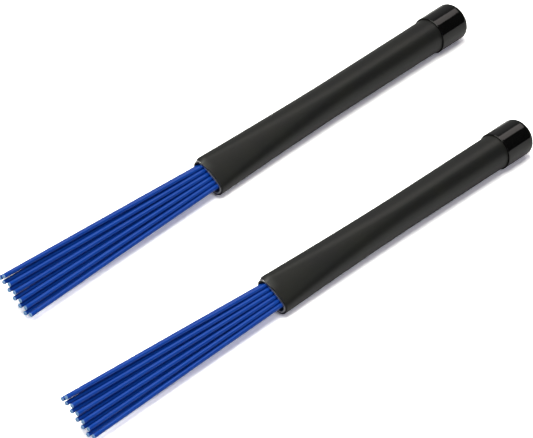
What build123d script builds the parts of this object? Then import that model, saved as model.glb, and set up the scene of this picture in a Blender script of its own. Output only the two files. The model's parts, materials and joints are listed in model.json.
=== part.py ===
from build123d import *
import math
import os

# A pair of nylon drum brushes that lie side by side on a flat surface. Millimetres.
# Each brush points along X, rod tips towards -X and end cap towards +X. +Z is up, and
# z = 0 is the surface. A brush is first built about its own axis, with x = 0 at the mouth
# of its tube and the wide way of the flattened mouth along Y, and is then laid in place.

# How the two brushes lie
brush_spacing = 88.6        # across, from one brush's axis to the other's
brush_stagger = 58.2        # how far brush b lies towards the tips
roll_angle = 35.0           # turn of each brush about its axis, far edge of the mouth up

# Lengths from the mouth of the tube
rod_reach = 137.0           # to the tip of the longest rod
handle_length = 182.0       # to the back of the end cap

# Tube and grip sleeve
sleeve_diameter = 17.0
sleeve_wall = 1.0
tube_wall = 0.8
rim_proud = 0.4             # bare tube in front of the sleeve

# Flattened end of the tube
mouth_end_room = 0.13       # over and under the bundle at the mouth's rounded ends
corner_room = 0.015         # between those ends and the outermost rod
mouth_crown = 0.05          # how far the flat faces bulge: 0 would be flat
flare_length = 95.0         # from the mouth back to where the handle is round
flare_power = 1.5           # 1 would be a straight taper
flare_stations = 7

# End cap, a dipped vinyl cup pushed over the sleeve
cap_length = 19.5
cap_wall = 0.7
cap_end_wall = 1.6
cap_edge_radius = 3.4
cap_lip_radius = 0.25
cap_clearance = 0.05        # radial, round the sleeve

# Rods, in an upper and a lower layer that nest into each other
rods_per_layer = 6
rod_diameter = 2.3
rod_gap = 0.05              # between neighbours inside the tube
bundle_shift = 0.35         # the bundle leans to the far end of the mouth
root_room = 0.06            # left beside the outermost rod where the rods end
tip_spread = 1.85           # gap between neighbours in one layer at the tips
tip_lift = 0.2              # the layers move this much apart, each way, towards the tips
tip_lean = 1.3              # the fan leans further to the far side on its way to the tips
tip_unevenness = (-0.2, -0.2, -0.1, 0.0, 0.7, 1.2, 0.2, 0.3, 0.3, 0.8, 1.4, -0.1)
end_slant = 1.6             # rods on the far side are cut this much shorter
end_raggedness = 0.4

# Resin that holds the rods in the flattened end
plug_front = 5.0            # set back from the mouth
root_tail = 4.0             # the rods stick out behind the resin

# The fan of rods turns about a line across the mouth. Its rods start just outside this
# round gap, and the ends of the roots stop just inside it.
flex_margin = 1.0           # beyond the bundle's half height
flex_clearance = 0.3

sleeve_radius = sleeve_diameter / 2
tube_radius = sleeve_radius - sleeve_wall
cap_bore_radius = sleeve_radius + cap_clearance
cap_radius = cap_bore_radius + cap_wall
handle_back = handle_length - cap_end_wall
rod_radius = rod_diameter / 2
rod_pitch = rod_diameter + rod_gap
layer_rise = rod_pitch * math.sin(math.radians(60)) / 2
bundle_half_height = layer_rise + rod_radius
bundle_half_width = (2 * rods_per_layer - 1) * rod_pitch / 4 + rod_radius
flex_radius = bundle_half_height + flex_margin

# Each rounded end of the mouth is an arc that clears the outermost rod.
inside_end_radius = bundle_half_height + mouth_end_room
rod_play = inside_end_radius - rod_radius - corner_room
outermost_rod = bundle_half_width - rod_radius
end_arc_y = outermost_rod + bundle_shift - math.sqrt(rod_play ** 2 - layer_rise ** 2)
mouth_half_width = end_arc_y + inside_end_radius + tube_wall + sleeve_wall
mouth_half_height = mouth_half_width - end_arc_y / (1 + mouth_crown)
across = 8 * mouth_half_width    # longer than any piece is wide

# The rods end where the narrowing tube leaves root_room beside the outermost one. The end
# arc's centre and radius both follow the squash, so this squash solves a quadratic.
inside_radius = tube_radius - tube_wall
arc_narrowing = inside_radius - inside_end_radius
round_play = inside_radius - rod_radius - root_room
squared = end_arc_y ** 2 - arc_narrowing ** 2
linear = end_arc_y * outermost_rod - arc_narrowing * round_play
constant = outermost_rod ** 2 + layer_rise ** 2 - round_play ** 2
root_squash = max(0, (linear - math.sqrt(linear ** 2 - squared * constant)) / squared)
root_depth = flare_length * (1 - root_squash ** (1 / flare_power))


def section(x, inset):
    """Cross-section of the handle at x, set in from the sleeve's surface: four tangent arcs."""
    squash = (1 - x / flare_length) ** flare_power
    half_width = sleeve_radius + (mouth_half_width - sleeve_radius) * squash - inset
    half_height = sleeve_radius + (mouth_half_height - sleeve_radius) * squash - inset
    end_radius = half_height - mouth_crown * (half_width - half_height)
    meet_angle = math.atan2(1 + 2 * mouth_crown, 2 * mouth_crown * (1 + mouth_crown))
    meet_y = half_width - end_radius * (1 - math.cos(meet_angle))
    meet_z = end_radius * math.sin(meet_angle)
    arcs = [
        ThreePointArc((meet_y, -meet_z), (half_width, 0), (meet_y, meet_z)),
        ThreePointArc((meet_y, meet_z), (0, half_height), (-meet_y, meet_z)),
        ThreePointArc((-meet_y, meet_z), (-half_width, 0), (-meet_y, -meet_z)),
        ThreePointArc((-meet_y, -meet_z), (0, -half_height), (meet_y, -meet_z)),
    ]
    return Plane(origin=(x, 0, 0), x_dir=(0, 1, 0), z_dir=(1, 0, 0)) * Face(Wire(arcs))


def slab(start, end):
    """Everything between two planes across the brush."""
    return Pos((start + end) / 2, 0, 0) * Box(end - start, across, across)


def rod_along(start, end, radius):
    """Round bar from one point to another."""
    run = Vector(*end) - Vector(*start)
    bar = Cylinder(radius, run.length, align=(Align.CENTER, Align.CENTER, Align.MIN))
    return Plane(origin=start, z_dir=run) * bar


def handle_shape(inset, start, end):
    """Solid shape of the handle, set in from the sleeve's surface, from start to end."""
    stations = [flare_length * i / (flare_stations - 1) for i in range(flare_stations)]
    flare = loft([section(x, inset) for x in stations])
    barrel = rod_along((flare_length, 0, 0), (handle_length, 0, 0), sleeve_radius - inset)
    return (flare + barrel) & slab(start, end)


def handle_tube():
    """Aluminium tube, round at the back and pressed flat at the mouth."""
    outside = handle_shape(sleeve_wall, 0, handle_back)
    return outside - handle_shape(sleeve_wall + tube_wall, 0, handle_back)


def grip_sleeve():
    """Rubber sleeve over the whole tube but its rim."""
    outside = handle_shape(0, rim_proud, handle_back)
    return outside - handle_shape(sleeve_wall, rim_proud, handle_back)


def end_cap():
    """Closed cup over the back of the sleeve, seated on the end of the tube."""
    lip = handle_length - cap_length
    shell = rod_along((lip, 0, 0), (handle_length, 0, 0), cap_radius)
    shell = fillet(shell.edges().sort_by(Axis.X)[-1], cap_edge_radius)
    shell -= rod_along((lip, 0, 0), (handle_back, 0, 0), cap_bore_radius)
    lip_edges = shell.edges().group_by(Axis.X)[0]
    return fillet(lip_edges, min(cap_lip_radius, cap_wall / 3))


def mouth_point(layer, number):
    """Where a rod's centre crosses the mouth. layer is 1 for the upper and -1 for the lower."""
    from_middle = number - (rods_per_layer - 1) / 2
    y = from_middle * rod_pitch - layer * rod_pitch / 4 + bundle_shift
    return (0, y, layer * layer_rise)


def tip_point(layer, number):
    """Centre of a rod's cut end, in the fan that spreads and leans towards the tips."""
    from_middle = number - (rods_per_layer - 1) / 2
    count = number if layer > 0 else number + rods_per_layer
    unevenness = tip_unevenness[count % len(tip_unevenness)]
    tip_pitch = rod_diameter + tip_spread
    y = from_middle * tip_pitch - layer * tip_pitch / 4 + bundle_shift + tip_lean + unevenness
    z = layer * (layer_rise + tip_lift)
    far_share = number / (rods_per_layer - 1)
    shorter = end_slant * far_share + end_raggedness * abs(unevenness)
    return (shorter - rod_reach, y, z)


def root_bar(layer, number):
    """The stretch of a rod inside the tube, up to the round gap in front of the mouth."""
    mouth = mouth_point(layer, number)
    root = (root_depth, mouth[1] - bundle_shift, mouth[2])
    outward = (Vector(*mouth) - Vector(*root)).normalized() * (2 * flex_radius)
    return rod_along(root, tuple(Vector(*mouth) + outward), rod_radius)


def flex_barrel(radius):
    """Round bar across the mouth, about the line that the fan turns on."""
    return rod_along((0, -across / 2, 0), (0, across / 2, 0), radius)


def rod_roots():
    """The parts of all the rods that the handle holds."""
    held = slab(0, handle_length) + flex_barrel(flex_radius)
    return [root_bar(layer, number) & held for layer, number in rod_numbers()]


def free_rod(layer, number):
    """The part of one rod that sticks out of the mouth and bends."""
    bar = rod_along(mouth_point(layer, number), tip_point(layer, number), rod_radius)
    return bar - flex_barrel(flex_radius + flex_clearance)


def resin_plug():
    """Resin cast round the rods, filling the flattened tube."""
    plug = handle_shape(sleeve_wall + tube_wall, plug_front, root_depth - root_tail)
    for layer, number in rod_numbers():
        plug -= root_bar(layer, number)
    return plug


def rod_numbers():
    """Each rod's layer and its number in the layer, from the near side to the far side."""
    return [(layer, number) for layer in (1, -1) for number in range(rods_per_layer)]


def brush_pieces():
    """Every piece of one brush by its name, about the brush's own axis."""
    pieces = {
        "handle_tube": handle_tube(),
        "grip_sleeve": grip_sleeve(),
        "end_cap": end_cap(),
        "resin_plug": resin_plug(),
        "rod_roots": Compound(children=rod_roots()),
    }
    for layer, number in rod_numbers():
        layer_name = "upper" if layer > 0 else "lower"
        pieces[f"{layer_name}_rod_{number + 1}"] = free_rod(layer, number)
    return pieces


def lay_down(piece, x, y):
    """Place one piece of a brush whose mouth is at x and whose axis is at y."""
    return Pos(x, y, cap_radius) * Rot(roll_angle, 0, 0) * piece


pieces = brush_pieces()
places = {"a": (0, 0), "b": (-brush_stagger, -brush_spacing)}
extent = Compound(children=[lay_down(p, *at) for at in places.values() for p in pieces.values()])
middle = extent.bounding_box().center()

os.makedirs("parts", exist_ok=True)
for side, (x, y) in places.items():
    mouth_x = x - middle.X
    axis_y = y - middle.Y
    print(f"brush {side}: mouth x {mouth_x:.3f}, axis y {axis_y:.3f}, axis z {cap_radius:.3f}")
    for name, piece in pieces.items():
        export_step(lay_down(piece, mouth_x, axis_y), f"parts/brush_{side}_{name}.step")
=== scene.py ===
import json
from math import atan2, cos, pi, radians, sin

import bpy
from mathutils import Matrix, Vector


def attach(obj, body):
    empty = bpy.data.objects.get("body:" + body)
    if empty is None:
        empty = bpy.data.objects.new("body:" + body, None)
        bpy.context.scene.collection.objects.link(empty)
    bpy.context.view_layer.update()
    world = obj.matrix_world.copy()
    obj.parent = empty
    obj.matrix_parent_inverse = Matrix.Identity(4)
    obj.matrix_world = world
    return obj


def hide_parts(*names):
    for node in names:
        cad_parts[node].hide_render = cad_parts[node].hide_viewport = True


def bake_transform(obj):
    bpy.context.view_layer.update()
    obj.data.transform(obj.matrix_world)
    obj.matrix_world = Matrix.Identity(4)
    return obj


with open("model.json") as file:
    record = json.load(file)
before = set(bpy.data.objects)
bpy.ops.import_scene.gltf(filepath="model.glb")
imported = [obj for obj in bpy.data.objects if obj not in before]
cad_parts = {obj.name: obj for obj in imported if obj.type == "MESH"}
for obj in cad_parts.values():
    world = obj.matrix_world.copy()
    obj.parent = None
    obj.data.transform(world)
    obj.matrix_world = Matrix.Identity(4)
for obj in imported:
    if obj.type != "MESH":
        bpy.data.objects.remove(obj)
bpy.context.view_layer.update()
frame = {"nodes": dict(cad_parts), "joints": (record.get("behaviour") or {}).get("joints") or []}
mm = 0.001
print("frame loaded:", len(frame["nodes"]), "CAD nodes")

# How close counts as the same place, in millimetres
closeness = {"merge": 0.002, "point": 0.01, "rim": 0.02, "cut": 0.06}

# Each brush is modelled about its own axis: rods towards -X, mouth of the tube at x = 0,
# wide way of the mouth along Y. The flex joint lies across the mouth, so it gives the
# mouth's place and the turn of the brush.
flexJoints = {side: joint for side in ("a", "b") for joint in frame["joints"]
              if joint["name"] == f"brush_{side}_fan_flex"}
flexAxis = Vector(flexJoints["a"]["axis"])
brushTurn = Matrix.Rotation(atan2(flexAxis.z, flexAxis.y), 4, "X")
brushPlaces = {side: Matrix.Translation(joint["pos_m"]) @ brushTurn
               for side, joint in flexJoints.items()}


def deselectAll():
    for piece in bpy.context.selected_objects:
        piece.select_set(False)


def makeActive(piece):
    deselectAll()
    piece.select_set(True)
    bpy.context.view_layer.objects.active = piece


def startPiece(name):
    # names the primitive that was just added, and opens it for editing
    piece = bpy.context.active_object
    piece.name = name
    bpy.ops.object.mode_set(mode="EDIT")
    bpy.ops.mesh.select_mode(type="VERT")
    return piece


def selectWhere(piece, test, kind="VERT"):
    # selects the vertices that pass a test, the edges with both ends passing it, or the
    # faces whose centre does
    bpy.ops.mesh.select_mode(type=kind)
    bpy.ops.mesh.select_all(action="DESELECT")
    bpy.ops.object.mode_set(mode="OBJECT")
    mesh = piece.data
    if kind == "VERT":
        for vertex in mesh.vertices:
            vertex.select = test(vertex.co)
    elif kind == "EDGE":
        for edge in mesh.edges:
            edge.select = all(test(mesh.vertices[index].co) for index in edge.vertices)
    else:
        for face in mesh.polygons:
            face.select = test(face.center)
    bpy.ops.object.mode_set(mode="EDIT")


def applyModifier(piece, kind, settings):
    modifier = piece.modifiers.new(kind.lower(), kind)
    for name, value in settings.items():
        setattr(modifier, name, value)
    makeActive(piece)
    bpy.ops.object.modifier_apply(modifier=modifier.name)


def mergeAndFaceOut():
    # closes the seam that a spin or a mirror leaves, and turns every face outwards
    bpy.ops.mesh.select_all(action="SELECT")
    bpy.ops.mesh.remove_doubles(threshold=closeness["merge"] * mm)
    bpy.ops.mesh.normals_make_consistent(inside=False)


def smoothByAngle(piece, angle):
    makeActive(piece)
    bpy.ops.object.shade_smooth_by_angle(angle=radians(angle))


def copyPiece(piece, name):
    copy = piece.copy()
    copy.data = piece.data.copy()
    copy.name = name
    bpy.context.collection.objects.link(copy)
    return copy


def placeOnBrush(piece, side):
    # moves a piece made about the brush's own axis to where the brush lies
    piece.matrix_world = brushPlaces[side]
    makeActive(piece)
    bpy.ops.object.transform_apply(location=True, rotation=True, scale=True)


def colour(hexCode):
    # sRGB hex to linear
    channels = [int(hexCode[i:i + 2], 16) / 255 for i in (1, 3, 5)]
    return [c / 12.92 if c < 0.04045 else ((c + 0.055) / 1.055) ** 2.4 for c in channels] + [1]


def addNode(material, kind, settings={}, inputs={}):
    # adds one node, sets it up, and fills its inputs with values or links; an input is
    # given by name or number, and 6 and 7 are the two colours of a colour Mix
    node = material.node_tree.nodes.new("ShaderNode" + kind)
    for name, value in settings.items():
        setattr(node, name, value)
    for name, value in inputs.items():
        if isinstance(value, bpy.types.NodeSocket):
            material.node_tree.links.new(value, node.inputs[name])
        else:
            node.inputs[name].default_value = value
    return node


def startMaterial(name):
    material = bpy.data.materials.new(name)
    material.use_nodes = True
    material.node_tree.nodes.clear()
    return material


def finishMaterial(material, surface):
    addNode(material, "OutputMaterial", inputs={"Surface": surface.outputs["BSDF"]})
    return material


# Extruded nylon: deep blue all through, a satin skin with fine lines from the die along it
nylon = {"deep": "#08308A", "bright": "#124CAC", "lineWidth": 0.35, "lineLength": 40.0,
         "lineDepth": 0.012, "lineStrength": 0.6, "roughness": 0.2, "ior": 1.53,
         "shine": 0.75, "shineTint": "#C4D6FF"}


def makeNylon():
    material = startMaterial("extrudedNylon")
    place = addNode(material, "TexCoord")
    alongRod = addNode(material, "Mapping", inputs={
        "Vector": place.outputs["Object"],
        "Scale": (nylon["lineWidth"] / nylon["lineLength"], 1, 1)})
    lines = addNode(material, "TexNoise", inputs={
        "Vector": alongRod.outputs["Vector"], "Scale": 1 / (nylon["lineWidth"] * mm),
        "Detail": 3})
    tone = addNode(material, "Mix", {"data_type": "RGBA"}, {
        "Factor": lines.outputs["Fac"], 6: colour(nylon["deep"]), 7: colour(nylon["bright"])})
    relief = addNode(material, "Bump", inputs={
        "Height": lines.outputs["Fac"], "Distance": nylon["lineDepth"] * mm,
        "Strength": nylon["lineStrength"]})
    surface = addNode(material, "BsdfPrincipled", inputs={
        "Base Color": tone.outputs[2], "Roughness": nylon["roughness"], "IOR": nylon["ior"],
        "Specular IOR Level": nylon["shine"], "Specular Tint": colour(nylon["shineTint"]),
        "Normal": relief.outputs["Normal"]})
    return finishMaterial(material, surface)


# Sawn nylon: the blade whitens the cut, so the ends look paler and dull
cutNylon = {"pale": "#9CC4EC", "blue": "#5A90D0", "sawMark": 0.5, "sawDepth": 0.03,
            "roughness": 0.6, "ior": 1.53}


def makeCutNylon():
    material = startMaterial("sawnNylon")
    place = addNode(material, "TexCoord")
    marks = addNode(material, "TexNoise", inputs={
        "Vector": place.outputs["Object"], "Scale": 1 / (cutNylon["sawMark"] * mm), "Detail": 4})
    tone = addNode(material, "Mix", {"data_type": "RGBA"}, {
        "Factor": marks.outputs["Fac"], 6: colour(cutNylon["blue"]), 7: colour(cutNylon["pale"])})
    relief = addNode(material, "Bump", inputs={
        "Height": marks.outputs["Fac"], "Distance": cutNylon["sawDepth"] * mm})
    surface = addNode(material, "BsdfPrincipled", inputs={
        "Base Color": tone.outputs[2], "Roughness": cutNylon["roughness"], "IOR": cutNylon["ior"],
        "Normal": relief.outputs["Normal"]})
    return finishMaterial(material, surface)


# Shrunk rubber: matte charcoal with a fine grain. The real grain is finer than 0.1 mm, and
# is drawn coarser so that it still shows.
rubber = {"dark": "#141518", "light": "#1E1F1A", "grain": 0.45, "grainDepth": 0.012,
          "patch": 14.0, "roughness": 0.42, "ior": 1.5}


def makeRubber():
    material = startMaterial("shrunkRubber")
    place = addNode(material, "TexCoord")
    grain = addNode(material, "TexNoise", inputs={
        "Vector": place.outputs["Object"], "Scale": 1 / (rubber["grain"] * mm), "Detail": 4})
    patches = addNode(material, "TexNoise", inputs={
        "Vector": place.outputs["Object"], "Scale": 1 / (rubber["patch"] * mm), "Detail": 2})
    tone = addNode(material, "Mix", {"data_type": "RGBA"}, {
        "Factor": patches.outputs["Fac"], 6: colour(rubber["dark"]), 7: colour(rubber["light"])})
    relief = addNode(material, "Bump", inputs={
        "Height": grain.outputs["Fac"], "Distance": rubber["grainDepth"] * mm})
    surface = addNode(material, "BsdfPrincipled", inputs={
        "Base Color": tone.outputs[2], "Roughness": rubber["roughness"], "IOR": rubber["ior"],
        "Normal": relief.outputs["Normal"]})
    return finishMaterial(material, surface)


# Dipped vinyl: deep gloss black with the soft waves of a dipped coat
vinyl = {"black": "#050505", "worn": "#0C0C0C", "wave": 5.0, "waveDepth": 0.03,
         "roughness": 0.09, "ior": 1.52}


def makeVinyl():
    material = startMaterial("dippedVinyl")
    place = addNode(material, "TexCoord")
    waves = addNode(material, "TexNoise", inputs={
        "Vector": place.outputs["Object"], "Scale": 1 / (vinyl["wave"] * mm), "Detail": 1})
    tone = addNode(material, "Mix", {"data_type": "RGBA"}, {
        "Factor": waves.outputs["Fac"], 6: colour(vinyl["black"]), 7: colour(vinyl["worn"])})
    relief = addNode(material, "Bump", inputs={
        "Height": waves.outputs["Fac"], "Distance": vinyl["waveDepth"] * mm})
    surface = addNode(material, "BsdfPrincipled", inputs={
        "Base Color": tone.outputs[2], "Roughness": vinyl["roughness"], "IOR": vinyl["ior"],
        "Normal": relief.outputs["Normal"]})
    return finishMaterial(material, surface)


# Drawn aluminium: bright bare metal with fine lines along the tube
aluminium = {"bright": "#D9D9DC", "dull": "#B4B3B6", "lineWidth": 0.3, "lineLength": 15.0,
             "lineDepth": 0.01, "roughness": 0.32}


def makeAluminium():
    material = startMaterial("drawnAluminium")
    place = addNode(material, "TexCoord")
    alongTube = addNode(material, "Mapping", inputs={
        "Vector": place.outputs["Object"],
        "Scale": (aluminium["lineWidth"] / aluminium["lineLength"], 1, 1)})
    lines = addNode(material, "TexNoise", inputs={
        "Vector": alongTube.outputs["Vector"], "Scale": 1 / (aluminium["lineWidth"] * mm),
        "Detail": 3})
    tone = addNode(material, "Mix", {"data_type": "RGBA"}, {
        "Factor": lines.outputs["Fac"],
        6: colour(aluminium["bright"]), 7: colour(aluminium["dull"])})
    relief = addNode(material, "Bump", inputs={
        "Height": lines.outputs["Fac"], "Distance": aluminium["lineDepth"] * mm})
    surface = addNode(material, "BsdfPrincipled", inputs={
        "Base Color": tone.outputs[2], "Metallic": 1, "Roughness": aluminium["roughness"],
        "Normal": relief.outputs["Normal"]})
    return finishMaterial(material, surface)


# Cast epoxy resin: murky grey-brown between the rods, with a few pale bubbles
resin = {"body": "#3B372F", "bubble": "#6E675A", "bubbleSize": 0.8, "roughness": 0.4, "ior": 1.55}


def makeResin():
    material = startMaterial("castEpoxy")
    place = addNode(material, "TexCoord")
    bubbles = addNode(material, "TexVoronoi", inputs={
        "Vector": place.outputs["Object"], "Scale": 1 / (resin["bubbleSize"] * mm)})
    tone = addNode(material, "Mix", {"data_type": "RGBA"}, {
        "Factor": bubbles.outputs["Distance"],
        6: colour(resin["bubble"]), 7: colour(resin["body"])})
    surface = addNode(material, "BsdfPrincipled", inputs={
        "Base Color": tone.outputs[2], "Roughness": resin["roughness"], "IOR": resin["ior"]})
    return finishMaterial(material, surface)


finishes = {"nylon": makeNylon(), "cutNylon": makeCutNylon(), "rubber": makeRubber(),
            "vinyl": makeVinyl(), "aluminium": makeAluminium(), "resin": makeResin()}
print("materials made:", len(finishes))

# Shape that the handle and its sleeve share, in millimetres: an oval mouth of four tangent
# arcs, which rounds out into a plain tube. The half sizes are those of the sleeve's surface.
handle = {"halfWidth": 10.413, "halfHeight": 4.398, "crown": 0.05, "radius": 8.5,
          "flareLength": 95.0, "flarePower": 1.5, "endSteps": 10, "flatSteps": 5}


def ovalAt(x, inset):
    # half width, half height and end arc radius of the handle at x, set in from the sleeve
    squash = max(0, 1 - x / handle["flareLength"]) ** handle["flarePower"]
    halfWidth = handle["radius"] + (handle["halfWidth"] - handle["radius"]) * squash
    halfHeight = handle["radius"] + (handle["halfHeight"] - handle["radius"]) * squash
    endRadius = halfHeight - handle["crown"] * (halfWidth - halfHeight)
    return halfWidth - inset, halfHeight - inset, endRadius - inset


def addQuarterOval(x, inset):
    # spins one point along the end arc and then along the flat arc of a cross-section
    halfWidth, halfHeight, endRadius = (size * mm for size in ovalAt(x, inset))
    crown = handle["crown"]
    meetAngle = atan2(1 + 2 * crown, 2 * crown * (1 + crown))
    bpy.ops.mesh.select_all(action="DESELECT")
    bpy.ops.mesh.primitive_circle_add(vertices=3, radius=mm, location=(x * mm, halfWidth, 0))
    bpy.ops.mesh.merge(type="CENTER")
    bpy.ops.mesh.spin(steps=handle["endSteps"], angle=-meetAngle, axis=(1, 0, 0),
                      center=(x * mm, halfWidth - endRadius, 0))
    # the flat arc's centre lies on the middle line, as far down as its radius
    meetY = halfWidth - endRadius * (1 - cos(meetAngle))
    flatRadius = meetY / cos(meetAngle)
    bpy.ops.mesh.spin(steps=handle["flatSteps"], angle=-(pi / 2 - meetAngle), axis=(1, 0, 0),
                      center=(x * mm, 0, halfHeight - flatRadius))


def makeShell(name, inset, front, back, step):
    # outer skin of the tube or the sleeve: a quarter bridged over its sections, then mirrored
    bpy.ops.mesh.primitive_circle_add(vertices=3, radius=mm)
    piece = startPiece(name)
    bpy.ops.mesh.delete(type="VERT")
    stations = round((back - front) / step)
    for number in range(stations + 1):
        addQuarterOval(front + (back - front) * number / stations, inset)
    bpy.ops.mesh.select_all(action="SELECT")
    bpy.ops.mesh.bridge_edge_loops()
    bpy.ops.object.mode_set(mode="OBJECT")
    applyModifier(piece, "MIRROR", {
        "use_axis": (False, True, True), "merge_threshold": closeness["point"] * mm})
    bpy.ops.object.mode_set(mode="EDIT")
    mergeAndFaceOut()
    bpy.ops.object.mode_set(mode="OBJECT")
    return piece


def thickenInwards(piece, wall):
    applyModifier(piece, "SOLIDIFY", {
        "thickness": wall * mm, "offset": -1, "use_even_offset": True})


def roundRim(piece, x, width, segments):
    # bevels both edges of the ring-shaped rim at x
    makeActive(piece)
    bpy.ops.object.mode_set(mode="EDIT")
    selectWhere(piece, lambda point: abs(point.x - x * mm) < closeness["rim"] * mm, "FACE")
    bpy.ops.mesh.region_to_loop()
    bpy.ops.mesh.bevel(offset=width * mm, segments=segments, affect="EDGES")
    bpy.ops.object.mode_set(mode="OBJECT")


# Aluminium tube, bare only at its rim
tube = {"inset": 1.0, "wall": 0.8, "front": 0, "back": 180.4, "step": 5.0,
        "rimRound": 0.18, "rimSegments": 3, "sharpAngle": 50}


def makeTube():
    piece = makeShell("aHandleTube", tube["inset"], tube["front"], tube["back"], tube["step"])
    thickenInwards(piece, tube["wall"])
    roundRim(piece, tube["front"], tube["rimRound"], tube["rimSegments"])
    smoothByAngle(piece, tube["sharpAngle"])
    piece.data.materials.append(finishes["aluminium"])
    return piece


# Rubber sleeve. At the far end of the mouth its front curls in over the bare rim: beyond each
# curl edge it is drawn in and forward once more.
sleeve = {"wall": 1.0, "front": 0.4, "back": 180.4, "step": 2.5,
          "lipRound": 0.3, "lipSegments": 4, "sharpAngle": 50,
          "curlEdges": (2.0, 3.5, 5.0, 6.5, 8.0), "curlLength": 0.5, "curlIn": 0.94,
          "curlForward": 0.16}


def makeSleeve():
    piece = makeShell("aGripSleeve", 0, sleeve["front"], sleeve["back"], sleeve["step"])
    thickenInwards(piece, sleeve["wall"])
    roundRim(piece, sleeve["front"], sleeve["lipRound"], sleeve["lipSegments"])
    bpy.ops.object.mode_set(mode="EDIT")
    curlBack = (sleeve["front"] + sleeve["curlLength"]) * mm
    for edge in sleeve["curlEdges"]:
        selectWhere(piece, lambda point: point.x < curlBack and point.y > edge * mm)
        bpy.ops.transform.resize(value=(1, sleeve["curlIn"], sleeve["curlIn"]),
                                 center_override=(0, edge * mm, 0))
        bpy.ops.transform.translate(value=(-sleeve["curlForward"] * mm, 0, 0))
    bpy.ops.object.mode_set(mode="OBJECT")
    smoothByAngle(piece, sleeve["sharpAngle"])
    piece.data.materials.append(finishes["rubber"])
    return piece


# Vinyl cup over the back of the sleeve: a plain side, a lip a little wider and a rounded end
cap = {"lip": 162.5, "back": 182.0, "floor": 180.4,
       "bore": 8.55, "lipRadius": 9.25, "sideRadius": 9.17, "lipLength": 1.6,
       "lipRound": 0.22, "lipSegments": 4, "endRound": 3.4, "endSegments": 10,
       "steps": 96, "sharpAngle": 50}


def makeCap():
    # its half outline is drawn point by point from the middle of the end, then spun round
    bpy.ops.mesh.primitive_circle_add(vertices=3, radius=mm)
    piece = startPiece("aEndCap")
    bpy.ops.mesh.merge(type="CENTER")
    bpy.ops.transform.translate(value=(cap["back"] * mm, 0, 0))
    outline = [(cap["back"], cap["sideRadius"]), (cap["lip"] + cap["lipLength"], cap["sideRadius"]),
               (cap["lip"], cap["lipRadius"]), (cap["lip"], cap["bore"]),
               (cap["floor"], cap["bore"]), (cap["floor"], 0)]
    lastX, lastRadius = cap["back"], 0
    for x, radius in outline:
        bpy.ops.mesh.extrude_region_move(TRANSFORM_OT_translate={
            "value": ((x - lastX) * mm, 0, (radius - lastRadius) * mm)})
        lastX, lastRadius = x, radius
    near = closeness["point"] * mm
    selectWhere(piece, lambda point: abs(point.x - cap["back"] * mm) < near
                and point.z > cap["bore"] * mm)
    bpy.ops.mesh.bevel(offset=cap["endRound"] * mm, segments=cap["endSegments"],
                       affect="VERTICES")
    selectWhere(piece, lambda point: abs(point.x - cap["lip"] * mm) < near)
    bpy.ops.mesh.bevel(offset=cap["lipRound"] * mm, segments=cap["lipSegments"],
                       affect="VERTICES")
    bpy.ops.mesh.select_all(action="SELECT")
    bpy.ops.mesh.spin(steps=cap["steps"], angle=2 * pi, axis=(1, 0, 0), center=(0, 0, 0))
    mergeAndFaceOut()
    bpy.ops.object.mode_set(mode="OBJECT")
    smoothByAngle(piece, cap["sharpAngle"])
    piece.data.materials.append(finishes["vinyl"])
    return piece


deselectAll()
firstBrush = {"HandleTube": makeTube(), "GripSleeve": makeSleeve(), "EndCap": makeCap()}
print("tube, sleeve and cap modelled")

# One nylon rod, cut at both ends. The blank is stretched and bent along each rod's own line,
# which bows a little, each rod another way round by bowTurn radians.
rod = {"radius": 1.15, "blankLength": 160.0, "sides": 24, "cuts": 30,
       "cutRound": 0.1, "cutSegments": 2, "sharpAngle": 60,
       "rootEnd": 26.8, "rootShare": 0.8, "mouthShare": 0.05,
       "bow": 0.1, "bowTurn": 2.4, "bowShares": ((0.4, 1.0), (0.75, 0.6)),
       "lineSteps": 24, "bendReach": 1.33,
       "tipNudge": {"lower_rod_4": 0.28, "upper_rod_4": 0.36, "lower_rod_3": 0.24}}


def rodEnds(node):
    # centres of a CAD rod's two ends, about the brush's own axis
    toBrush = brushPlaces["a"].inverted()
    points = [toBrush @ vertex.co for vertex in node.data.vertices]
    middle = (min(p.x for p in points) + max(p.x for p in points)) / 2
    ends = []
    for isTip in (False, True):
        ring = [p for p in points if (p.x < middle) == isTip]
        low = Vector([min(p[axis] for p in ring) for axis in range(3)])
        high = Vector([max(p[axis] for p in ring) for axis in range(3)])
        ends.append((low + high) / 2)
    return ends


def makeRodBlank():
    halfLength = rod["blankLength"] / 2 * mm
    bpy.ops.mesh.primitive_cylinder_add(vertices=rod["sides"], radius=rod["radius"] * mm,
                                        depth=2 * halfLength, rotation=(0, pi / 2, 0))
    piece = startPiece("rodBlank")
    bpy.ops.object.mode_set(mode="OBJECT")
    bpy.ops.object.transform_apply(location=True, rotation=True, scale=True)
    bpy.ops.object.mode_set(mode="EDIT")
    bpy.ops.mesh.select_mode(type="EDGE")
    bpy.ops.mesh.select_all(action="DESELECT")
    bpy.ops.object.mode_set(mode="OBJECT")
    # only the edges that run along the rod are cut
    for edge in piece.data.edges:
        first, second = (piece.data.vertices[index].co for index in edge.vertices)
        edge.select = abs(first.x - second.x) > halfLength
    bpy.ops.object.mode_set(mode="EDIT")
    bpy.ops.mesh.subdivide(number_cuts=rod["cuts"])
    near = closeness["point"] * mm
    selectWhere(piece, lambda point: abs(abs(point.x) - halfLength) < near, "EDGE")
    bpy.ops.mesh.bevel(offset=rod["cutRound"] * mm, segments=rod["cutSegments"], affect="EDGES")
    bpy.ops.object.mode_set(mode="OBJECT")
    smoothByAngle(piece, rod["sharpAngle"])
    piece.data.materials.append(finishes["nylon"])
    piece.data.materials.append(finishes["cutNylon"])
    for face in piece.data.polygons:
        isCut = abs(abs(face.center.x) - halfLength) < closeness["cut"] * mm
        face.material_index = int(isCut)
    return piece


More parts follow.
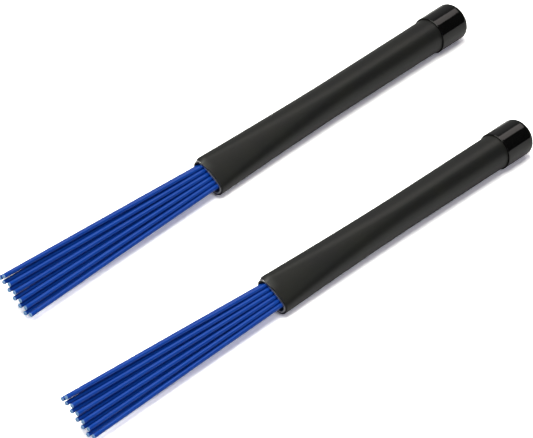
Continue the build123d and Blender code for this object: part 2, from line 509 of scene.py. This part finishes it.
def makeRod(blank, name, mouth, tip, rootShift, bowTurn):
    # bends a copy of the blank from its root in the resin, through the mouth, to its tip
    bow = Vector((0, cos(bowTurn), sin(bowTurn))) * rod["bow"] * mm
    root = Vector((rod["rootEnd"] * mm, mouth.y - rootShift, mouth.z))
    route = [root, root.lerp(mouth, rod["rootShare"]), mouth, mouth.lerp(tip, rod["mouthShare"])]
    route += [mouth.lerp(tip, share) + bow * height for share, height in rod["bowShares"]]
    route.append(tip)
    line = bpy.data.curves.new("rodLine", "CURVE")
    line.dimensions = "3D"
    line.resolution_u = rod["lineSteps"]
    spline = line.splines.new("NURBS")
    spline.points.add(len(route) - 1)
    for point, place in zip(spline.points, route):
        point.co = (*place, 1)
    spline.order_u = 3
    spline.use_endpoint_u = True
    line.use_stretch = True
    line.use_deform_bounds = True
    guide = bpy.data.objects.new("rodGuide", line)
    bpy.context.collection.objects.link(guide)
    piece = copyPiece(blank, name)
    applyModifier(piece, "CURVE", {"object": guide, "deform_axis": "NEG_X"})
    bpy.data.objects.remove(guide)
    return piece


blank = makeRodBlank()
rodNames = [f"{layer}_rod_{number}" for layer in ("upper", "lower") for number in range(1, 7)]
ends = {name: rodEnds(frame["nodes"][f"brush_a_{name}"]) for name in rodNames}
bundleShift = sum(mouth.y for mouth, tip in ends.values()) / len(ends)
rods = {}
for count, (name, (mouth, tip)) in enumerate(ends.items()):
    start = mouth.lerp(tip, mouth.x / (mouth.x - tip.x))     # on the mouth's own plane
    tip.y += rod["tipNudge"].get(name, 0) * mm     # closes the gaps between the middle rods
    pieceName = name.split("_")[0].title() + "Rod" + name[-1]
    rods[name] = makeRod(blank, "a" + pieceName, start, tip, bundleShift, count * rod["bowTurn"])
bpy.data.objects.remove(blank)
print("rods bent to their lines:", len(rods))

# The second brush is the same as the first
for side in ("b", "a"):
    handleBody, fanBody, capBody = (f"brush_{side}_{part}" for part in ("handle", "fan", "cap"))
    rides = {"HandleTube": ("handle_tube", handleBody, "tube_aluminium"),
             "GripSleeve": ("grip_sleeve", handleBody, "sleeve_rubber"),
             "EndCap": ("end_cap", capBody, "cap_vinyl")}
    for pieceName, (node, body, slot) in rides.items():
        piece = firstBrush[pieceName]
        if side != "a":
            piece = copyPiece(piece, side + pieceName)
        placeOnBrush(piece, side)
        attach(piece, body)
        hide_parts(f"brush_{side}_{node}")
    for name, piece in rods.items():
        if side != "a":
            piece = copyPiece(piece, side + piece.name[1:])
        placeOnBrush(piece, side)
        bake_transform(piece)
        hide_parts(f"brush_{side}_{name}", f"brush_{side}_rod_roots")
    for materialSlot in frame["nodes"][f"brush_{side}_resin_plug"].material_slots:
        materialSlot.material = finishes["resin"]
    print("brush", side, "laid down")

# Studio: an over-exposed white sweep, and a backdrop that is dark on the camera's side, where
# its brightness rises from "front" to "backdrop" between the two depths
studio = {"floorSize": 12.0, "floorLow": "#E6E6E9", "floorHigh": "#F2F2F2", "mottle": 25.0,
          "floorGain": 2.6, "floorBounce": 0.6,
          "front": 0.02, "frontDepth": -0.1, "backdrop": 0.3, "backdropDepth": 0.5}


def makeFloor():
    material = startMaterial("whitePaper")
    place = addNode(material, "TexCoord")
    mottle = addNode(material, "TexNoise", inputs={
        "Vector": place.outputs["Object"], "Scale": 1 / (studio["mottle"] * mm)})
    tone = addNode(material, "Mix", {"data_type": "RGBA"}, {
        "Factor": mottle.outputs["Fac"],
        6: colour(studio["floorLow"]), 7: colour(studio["floorHigh"])})
    # the paper itself is over-exposed, its light on the brushes is not
    rays = addNode(material, "LightPath")
    gain = addNode(material, "MapRange", inputs={
        "Value": rays.outputs["Is Camera Ray"],
        "To Min": studio["floorBounce"], "To Max": studio["floorGain"]})
    exposed = addNode(material, "VectorMath", {"operation": "SCALE"}, {
        "Vector": tone.outputs[2], "Scale": gain.outputs["Result"]})
    surface = addNode(material, "BsdfDiffuse", inputs={"Color": exposed.outputs["Vector"]})
    finishMaterial(material, surface)
    bpy.ops.mesh.primitive_plane_add(size=studio["floorSize"])
    floor = bpy.context.active_object
    floor.name = "floor"
    floor.data.materials.append(material)


# A broad light overhead, a fill from the front that softens the shadows but isn't mirrored in
# the gloss, and a small light on the right for the streak on the caps. Metres and watts.
softboxes = {
    "keyLight": {"place": (-0.35, 0.1, 1.4), "aim": (-0.35, 0.1, 0), "size": (1.2, 1.6),
                 "power": 30, "tint": "#FFFFF6", "isMirrored": True},
    "frontFill": {"place": (-0.5, -1.1, 0.75), "aim": (0, 0, 0), "size": (0.8, 0.5),
                  "power": 5.5, "tint": "#F4F2FF", "isMirrored": False},
    "stripLight": {"place": (0.77, 0, 0.92), "aim": (0, 0, 0), "size": (0.5, 0.5),
                   "power": 1.1, "tint": "#FFF6F2", "isMirrored": True}}


def addSoftbox(name, box):
    data = bpy.data.lights.new(name, "AREA")
    data.shape = "RECTANGLE"
    data.size, data.size_y = box["size"]
    data.energy = box["power"]
    data.color = colour(box["tint"])[:3]
    light = bpy.data.objects.new(name, data)
    light.visible_glossy = box["isMirrored"]
    light.location = box["place"]
    towards = Vector(box["aim"]) - Vector(box["place"])
    light.rotation_euler = towards.to_track_quat("-Z", "Y").to_euler()
    bpy.context.collection.objects.link(light)


def makeWorld():
    # pale backdrop behind, dark studio on the camera's side, white where the camera sees it
    world = bpy.data.worlds.new("studioWorld")
    world.use_nodes = True
    world.node_tree.nodes.clear()
    place = addNode(world, "TexCoord")
    parts = addNode(world, "SeparateXYZ", inputs={"Vector": place.outputs["Generated"]})
    depth = addNode(world, "MapRange", inputs={
        "Value": parts.outputs["Y"],
        "From Min": studio["frontDepth"], "From Max": studio["backdropDepth"],
        "To Min": studio["front"], "To Max": studio["backdrop"]})
    rays = addNode(world, "LightPath")
    strength = addNode(world, "Math", {"operation": "MAXIMUM"}, {
        0: depth.outputs["Result"], 1: rays.outputs["Is Camera Ray"]})
    background = addNode(world, "Background", inputs={"Strength": strength.outputs["Value"]})
    addNode(world, "OutputWorld", inputs={"Surface": background.outputs["Background"]})
    bpy.context.scene.world = world


deselectAll()
makeFloor()
makeWorld()
for boxName, box in softboxes.items():
    addSoftbox(boxName, box)
bpy.context.scene.view_settings.view_transform = "Standard"
print("floor and lights placed")

# A long lens from far away, so that both brushes look the same size
cameraView = {"azimuth": -49.75, "elevation": 33.0, "target": (0.01651, 0.01501, -0.00699),
              "width": 0.2501, "lens": 1200.0}


def makeCamera():
    data = bpy.data.cameras.new("camera")
    data.lens = cameraView["lens"]
    distance = data.lens / data.sensor_width * cameraView["width"]
    camera = bpy.data.objects.new("camera", data)
    azimuth, elevation = radians(cameraView["azimuth"]), radians(cameraView["elevation"])
    back = Vector((sin(azimuth) * cos(elevation), -cos(azimuth) * cos(elevation), sin(elevation)))
    camera.location = Vector(cameraView["target"]) + back * distance
    camera.rotation_euler = (-back).to_track_quat("-Z", "Y").to_euler()
    bpy.context.collection.objects.link(camera)
    bpy.context.scene.camera = camera


makeCamera()
deselectAll()
print("camera placed")
